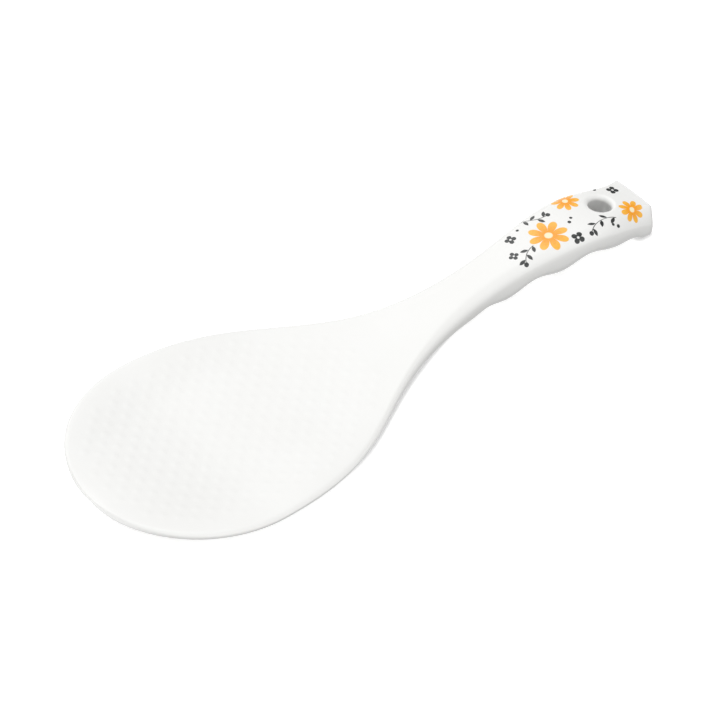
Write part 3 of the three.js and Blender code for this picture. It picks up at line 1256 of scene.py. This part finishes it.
@dataclass
class Studio:
    """Pale floor, soft light and the camera at the photograph's angle.

    The floor's size, the camera's distance and its clipping are metres, and angles are degrees.
    """

    floor_size: float = 6.0
    floor_white: Colour = (0.97, 0.97, 0.97, 1.0)
    floor_roughness: float = 0.9
    floor_glow: float = 0.39
    # painted contact shadow: reach in millimetres, sharpness and samples of the occlusion that dims the
    # floor's glow
    contact_shadow_reach: float = 1.3
    contact_shadow_depth: float = 2.8
    contact_shadow_samples: int = 6
    lights: tuple[SoftLight, ...] = (
        SoftLight(heading=205.5, height=30.0, faded_at=-0.36, brightest=1.149),
        SoftLight(heading=-4.2, height=44.0, faded_at=0.586, brightest=1.575),
        SoftLight(heading=-56.8, height=-35.0, faded_at=0.7, brightest=1.375),
        SoftLight(heading=35.0, height=-30.0, faded_at=0.42, brightest=1.05),
    )
    lamp: Lamp = field(default_factory=Lamp)
    azimuth: float = -38.22
    elevation: float = 43.13
    distance: float = 0.9
    lens: float = 156.15
    sensor: float = 36.0
    clip: tuple[float, float] = (0.01, 50.0)
    aim_right: float = -4.54
    aim_up: float = -0.95

    def build(self) -> None:
        """Set up the floor, the lights and the camera."""
        self._floor()
        self._world()
        self.lamp.build()
        self._camera()

    def _floor(self) -> None:
        """Lay a large plain sheet under the paddle."""
        bm = bmesh.new()
        bmesh.ops.create_grid(bm, x_segments=2, y_segments=2, size=self.floor_size / 2)
        mesh = bpy.data.meshes.new("studio_floor")
        bm.to_mesh(mesh)
        bm.free()
        mesh.materials.append(self._paper())
        floor = put("studio_floor", mesh)
        floor.visible_diffuse = False
        floor.visible_glossy = False
        floor.visible_shadow = False

    def _paper(self) -> Material:
        """Make the floor's material, which glows except close to where the paddle touches it: there
        ambient occlusion dims the glow into a painted contact shadow.

        Returns:
            The material.
        """
        material, sheet = blank_material("studio_paper")
        # painted contact shadow: ambient occlusion darkens the glowing floor next to the paddle
        cover = sheet.add("ShaderNodeAmbientOcclusion", {"Distance": self.contact_shadow_reach * MM},
                          samples=self.contact_shadow_samples)
        bare = sheet.math("POWER", cover.outputs["AO"], self.contact_shadow_depth)
        shader = sheet.add("ShaderNodeBsdfPrincipled", {
            "Base Color": self.floor_white, "Roughness": self.floor_roughness,
            "Specular IOR Level": 0.0, "Emission Color": self.floor_white,
            "Emission Strength": sheet.math("MULTIPLY", bare, self.floor_glow)})
        sheet.add("ShaderNodeOutputMaterial", {"Surface": shader.outputs["BSDF"]})
        return material

    def _world(self) -> None:
        """Fill the room with the soft lights."""
        world = bpy.data.worlds.new("studio_room")
        bpy.context.scene.world = world
        world.use_nodes = True
        world.node_tree.nodes.clear()
        sheet = NodeSheet(world.node_tree)
        direction = sheet.add("ShaderNodeTexCoord").outputs["Generated"]
        strength: object = 0.0
        for light in self.lights:
            strength = sheet.math("ADD", light.strength(sheet, direction), strength)
        background = sheet.add("ShaderNodeBackground", {"Color": WHITE, "Strength": strength})
        sheet.add("ShaderNodeOutputWorld", {"Surface": background.outputs["Background"]})
        bpy.context.scene.view_settings.view_transform = "Standard"

    def _camera(self) -> None:
        """Place the camera as the photograph was taken."""
        turn, tilt = math.radians(self.azimuth), math.radians(self.elevation)
        flat = math.cos(tilt)
        back = Vector((math.sin(turn) * flat, -math.cos(turn) * flat, math.sin(tilt)))
        right = Vector((math.cos(turn), math.sin(turn), 0.0))
        aim = (right * self.aim_right + back.cross(right) * self.aim_up) * MM
        camera = bpy.data.cameras.new("studio_camera")
        camera.lens, camera.sensor_width = self.lens, self.sensor
        camera.clip_start, camera.clip_end = self.clip
        holder = put("studio_camera", camera)
        holder.location = aim + back * self.distance
        holder.rotation_euler = (-back).to_track_quat("-Z", "Y").to_euler()
        bpy.context.scene.camera = holder


def make_piece(name: str, bm: BMesh, material: Material, node: str) -> Object:
    """Turn a mesh into a dressed piece that stands for a CAD node.

    Args:
        name: Name of the piece.
        bm: Its mesh, which is freed.
        material: Its finish.
        node: The node that it replaces.

    Returns:
        The piece.
    """
    mesh = bpy.data.meshes.new(name)
    bm.to_mesh(mesh)
    bm.free()
    mesh.materials.append(material)
    piece = put(name, mesh)
    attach(piece, BODY)
    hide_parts(node)
    LOG.info("%s: %d faces", name, len(mesh.polygons))
    return piece


def main() -> None:
    """Build the paddle, its foil and the studio."""
    logging.basicConfig(level=logging.INFO, format="%(name)s %(message)s")
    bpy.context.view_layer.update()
    skin = Moulding().build()
    foil = FoilSeat().lift_out(skin)
    make_piece("paddle_body", skin, Melamine().material(), "paddle_moulding")
    make_piece("handle_print", foil, FloralPrint().material(), "decal_foil")
    Studio().build()


if __name__ == "__main__":
    main()
